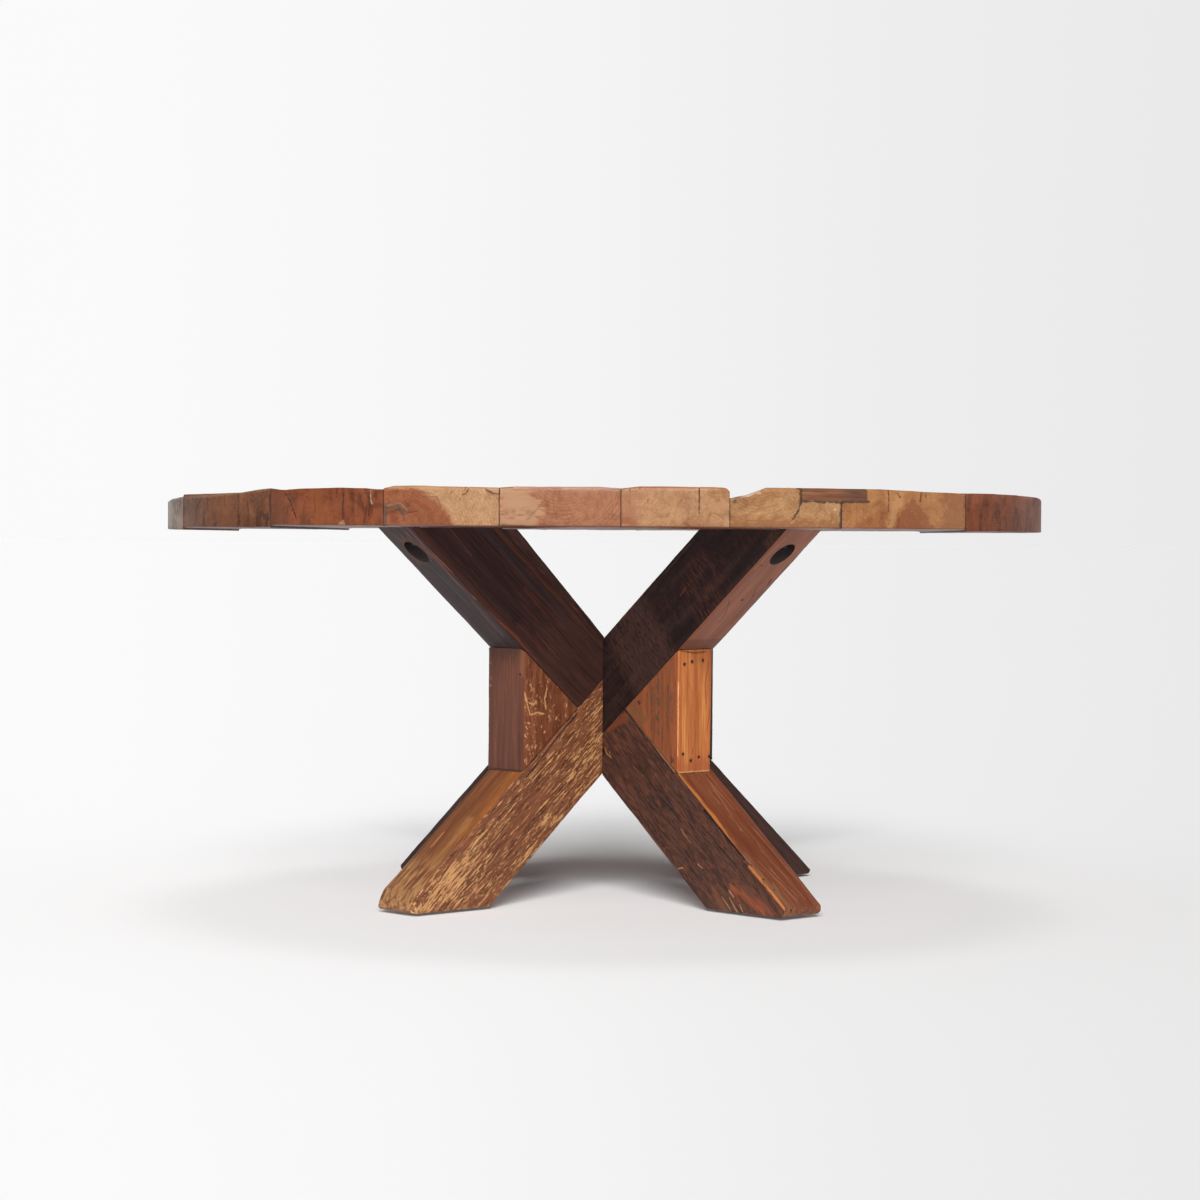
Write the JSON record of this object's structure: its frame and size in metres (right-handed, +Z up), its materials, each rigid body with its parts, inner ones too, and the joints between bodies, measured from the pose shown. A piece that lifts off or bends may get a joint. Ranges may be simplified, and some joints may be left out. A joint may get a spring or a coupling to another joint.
{
  "type": "sawbuck table",
  "caption": "Round dining table of thick reclaimed planks on a sawbuck base of two crossed X-frames with wedge blocks in their notches.",
  "frame": {"origin": "on the floor under the middle of the round top", "axes": "+Z up; the planks run along Y and the front is -Y; the two X-frames stand on the diagonals"},
  "size_m": [1.644, 1.644, 0.762],
  "materials": {
    "plank_timber": "reclaimed hardwood, waxed to a soft sheen",
    "patch_timber": "reclaimed hardwood repair, waxed",
    "tongue_timber": "plain hardwood, unfinished",
    "dowel_timber": "plain hardwood, unfinished",
    "flecked_timber": "reclaimed hardwood with pale weathered flecks, waxed",
    "brown_timber": "dark brown reclaimed hardwood, waxed",
    "dark_timber": "near-black reclaimed hardwood, waxed",
    "orange_block": "orange-brown reclaimed hardwood, waxed",
    "brown_block": "red-brown reclaimed hardwood, waxed",
    "bolt_steel": "dulled zinc plate",
    "nail_steel": "dark oxidised steel",
    "nylon": "milky nylon"
  },
  "bodies": {
    "root": {"arm_back_left": "brown_timber", "arm_front_right": "dark_timber", "cross_dowels": "dowel_timber", "end_dowels": "dowel_timber", "glide_back_left": "nylon", "glide_back_right": "nylon", "glide_front_left": "nylon", "glide_front_right": "nylon", "glide_nails": "nail_steel", "knee_block_back_left": "brown_block", "knee_block_back_right": "brown_block", "knee_block_front_left": "brown_block", "knee_block_front_right": "orange_block", "knee_nails_back_left": "nail_steel", "knee_nails_back_right": "nail_steel", "knee_nails_front_left": "nail_steel", "knee_nails_front_right": "nail_steel", "lag_bolts": "bolt_steel", "leg_back_left": "dark_timber", "leg_front_right": "brown_timber", "long_brace_back_right_foot": "brown_timber", "long_brace_front_left_foot": "flecked_timber", "plank_1": "plank_timber", "plank_2": "plank_timber", "plank_3": "plank_timber", "plank_4": "plank_timber", "plank_5": "plank_timber", "plank_6": "plank_timber", "plank_7": "plank_timber", "plank_8": "plank_timber", "plank_9": "plank_timber", "rim_patch": "patch_timber", "tongue_1": "tongue_timber", "tongue_2": "tongue_timber", "tongue_3": "tongue_timber", "tongue_4": "tongue_timber", "tongue_5": "tongue_timber", "tongue_6": "tongue_timber", "tongue_7": "tongue_timber", "tongue_8": "tongue_timber", "washers": "bolt_steel"}
  },
  "joints": []
}
